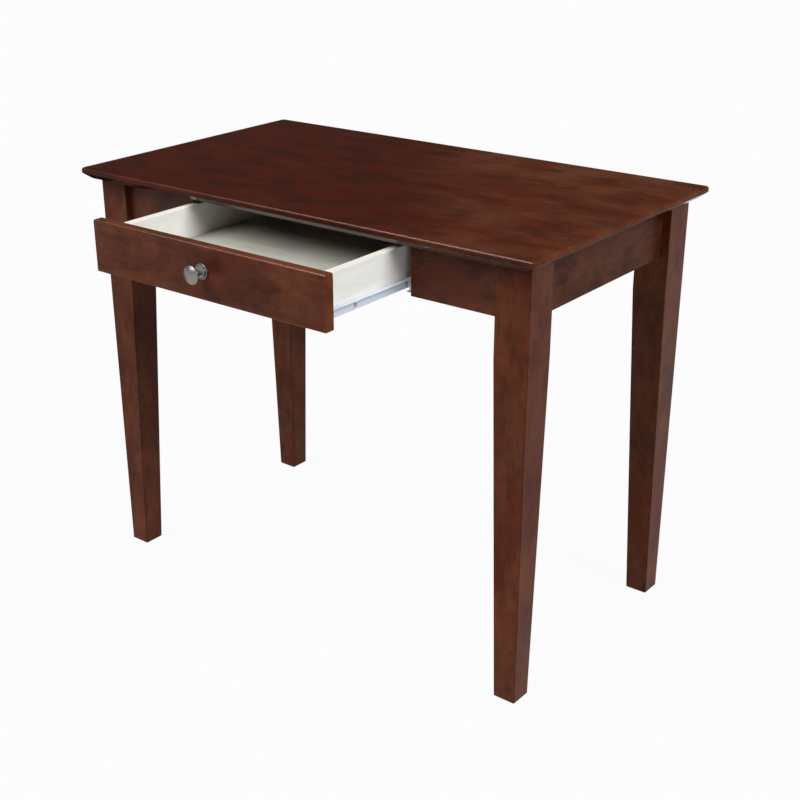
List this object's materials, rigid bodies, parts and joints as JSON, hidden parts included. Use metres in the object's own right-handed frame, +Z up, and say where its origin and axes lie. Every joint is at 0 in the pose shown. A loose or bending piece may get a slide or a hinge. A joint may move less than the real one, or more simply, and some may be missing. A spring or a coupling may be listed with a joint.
{
  "type": "writing desk with drawer",
  "caption": "Stained wood writing desk on tapered legs, with a bevelled overhanging top, an apron and a centred knob drawer on roller slides.",
  "frame": {"origin": "on the floor, under the middle of the desktop", "axes": "+Z up, +Y to the back of the desk, +X to the right of a person who faces the drawer"},
  "size_m": [0.961, 0.745, 0.762],
  "materials": {
    "stained_wood": "dark red-brown stain under satin lacquer",
    "plain_wood": "planed, unfinished",
    "white_wood": "smooth white drawer board",
    "coated_steel": "white epoxy coating",
    "zinc_steel": "zinc plated",
    "nylon": "moulded, matt",
    "nickel": "satin nickel"
  },
  "bodies": {
    "desk": {"desktop": "stained_wood", "leg_front_left": "stained_wood", "leg_front_right": "stained_wood", "leg_back_left": "stained_wood", "leg_back_right": "stained_wood", "front_rail_left": "stained_wood", "front_rail_right": "stained_wood", "side_apron_left": "stained_wood", "side_apron_right": "stained_wood", "back_apron": "stained_wood", "drawer_support_left": "plain_wood", "drawer_support_right": "plain_wood", "corner_block_front_left": "plain_wood", "corner_block_front_right": "plain_wood", "corner_block_back_left": "plain_wood", "corner_block_back_right": "plain_wood", "frame_dowels": "plain_wood", "leg_bolts": "zinc_steel", "leg_bolt_washers": "zinc_steel", "leg_bolt_nuts": "zinc_steel", "desktop_screws": "zinc_steel", "cabinet_slide_left": "coated_steel", "cabinet_slide_right": "coated_steel", "cabinet_slide_screws": "zinc_steel", "cabinet_roller_pins": "zinc_steel"},
    "drawer": {"drawer_front": "stained_wood", "drawer_box_front": "white_wood", "drawer_box_back": "white_wood", "drawer_side_left": "white_wood", "drawer_side_right": "white_wood", "drawer_bottom": "white_wood", "drawer_slide_left": "coated_steel", "drawer_slide_right": "coated_steel", "drawer_slide_screws": "zinc_steel", "drawer_roller_pins": "zinc_steel", "drawer_front_screws": "zinc_steel", "knob": "nickel", "knob_screw": "zinc_steel"},
    "front_roller_left": {"cabinet_roller_left": "nylon"},
    "front_roller_right": {"cabinet_roller_right": "nylon"},
    "rear_roller_left": {"drawer_roller_left": "nylon"},
    "rear_roller_right": {"drawer_roller_right": "nylon"}
  },
  "joints": [
    {"name": "drawer_slide", "type": "slide", "parent": "desk", "child": "drawer", "axis": [0, -1, 0], "range_m": [-0.195, 0.105]},
    {"name": "front_roller_left_spin", "type": "hinge", "parent": "desk", "child": "front_roller_left", "pos_m": [-0.2288, -0.2165, 0.6685], "axis": [1, 0, 0], "range_deg": [-1243, 670]},
    {"name": "front_roller_right_spin", "type": "hinge", "parent": "desk", "child": "front_roller_right", "pos_m": [0.2288, -0.2165, 0.6685], "axis": [1, 0, 0], "range_deg": [-1243, 670]},
    {"name": "rear_roller_left_spin", "type": "hinge", "parent": "drawer", "child": "rear_roller_left", "pos_m": [-0.2288, -0.0385, 0.6685], "axis": [1, 0, 0], "range_deg": [-1243, 670]},
    {"name": "rear_roller_right_spin", "type": "hinge", "parent": "drawer", "child": "rear_roller_right", "pos_m": [0.2288, -0.0385, 0.6685], "axis": [1, 0, 0], "range_deg": [-1243, 670]}
  ],
  "couplings": [
    {"joint": "front_roller_left_spin", "follows": "drawer_slide", "rad_per_m": 111.11},
    {"joint": "front_roller_right_spin", "follows": "drawer_slide", "rad_per_m": 111.11},
    {"joint": "rear_roller_left_spin", "follows": "drawer_slide", "rad_per_m": 111.11},
    {"joint": "rear_roller_right_spin", "follows": "drawer_slide", "rad_per_m": 111.11}
  ]
}
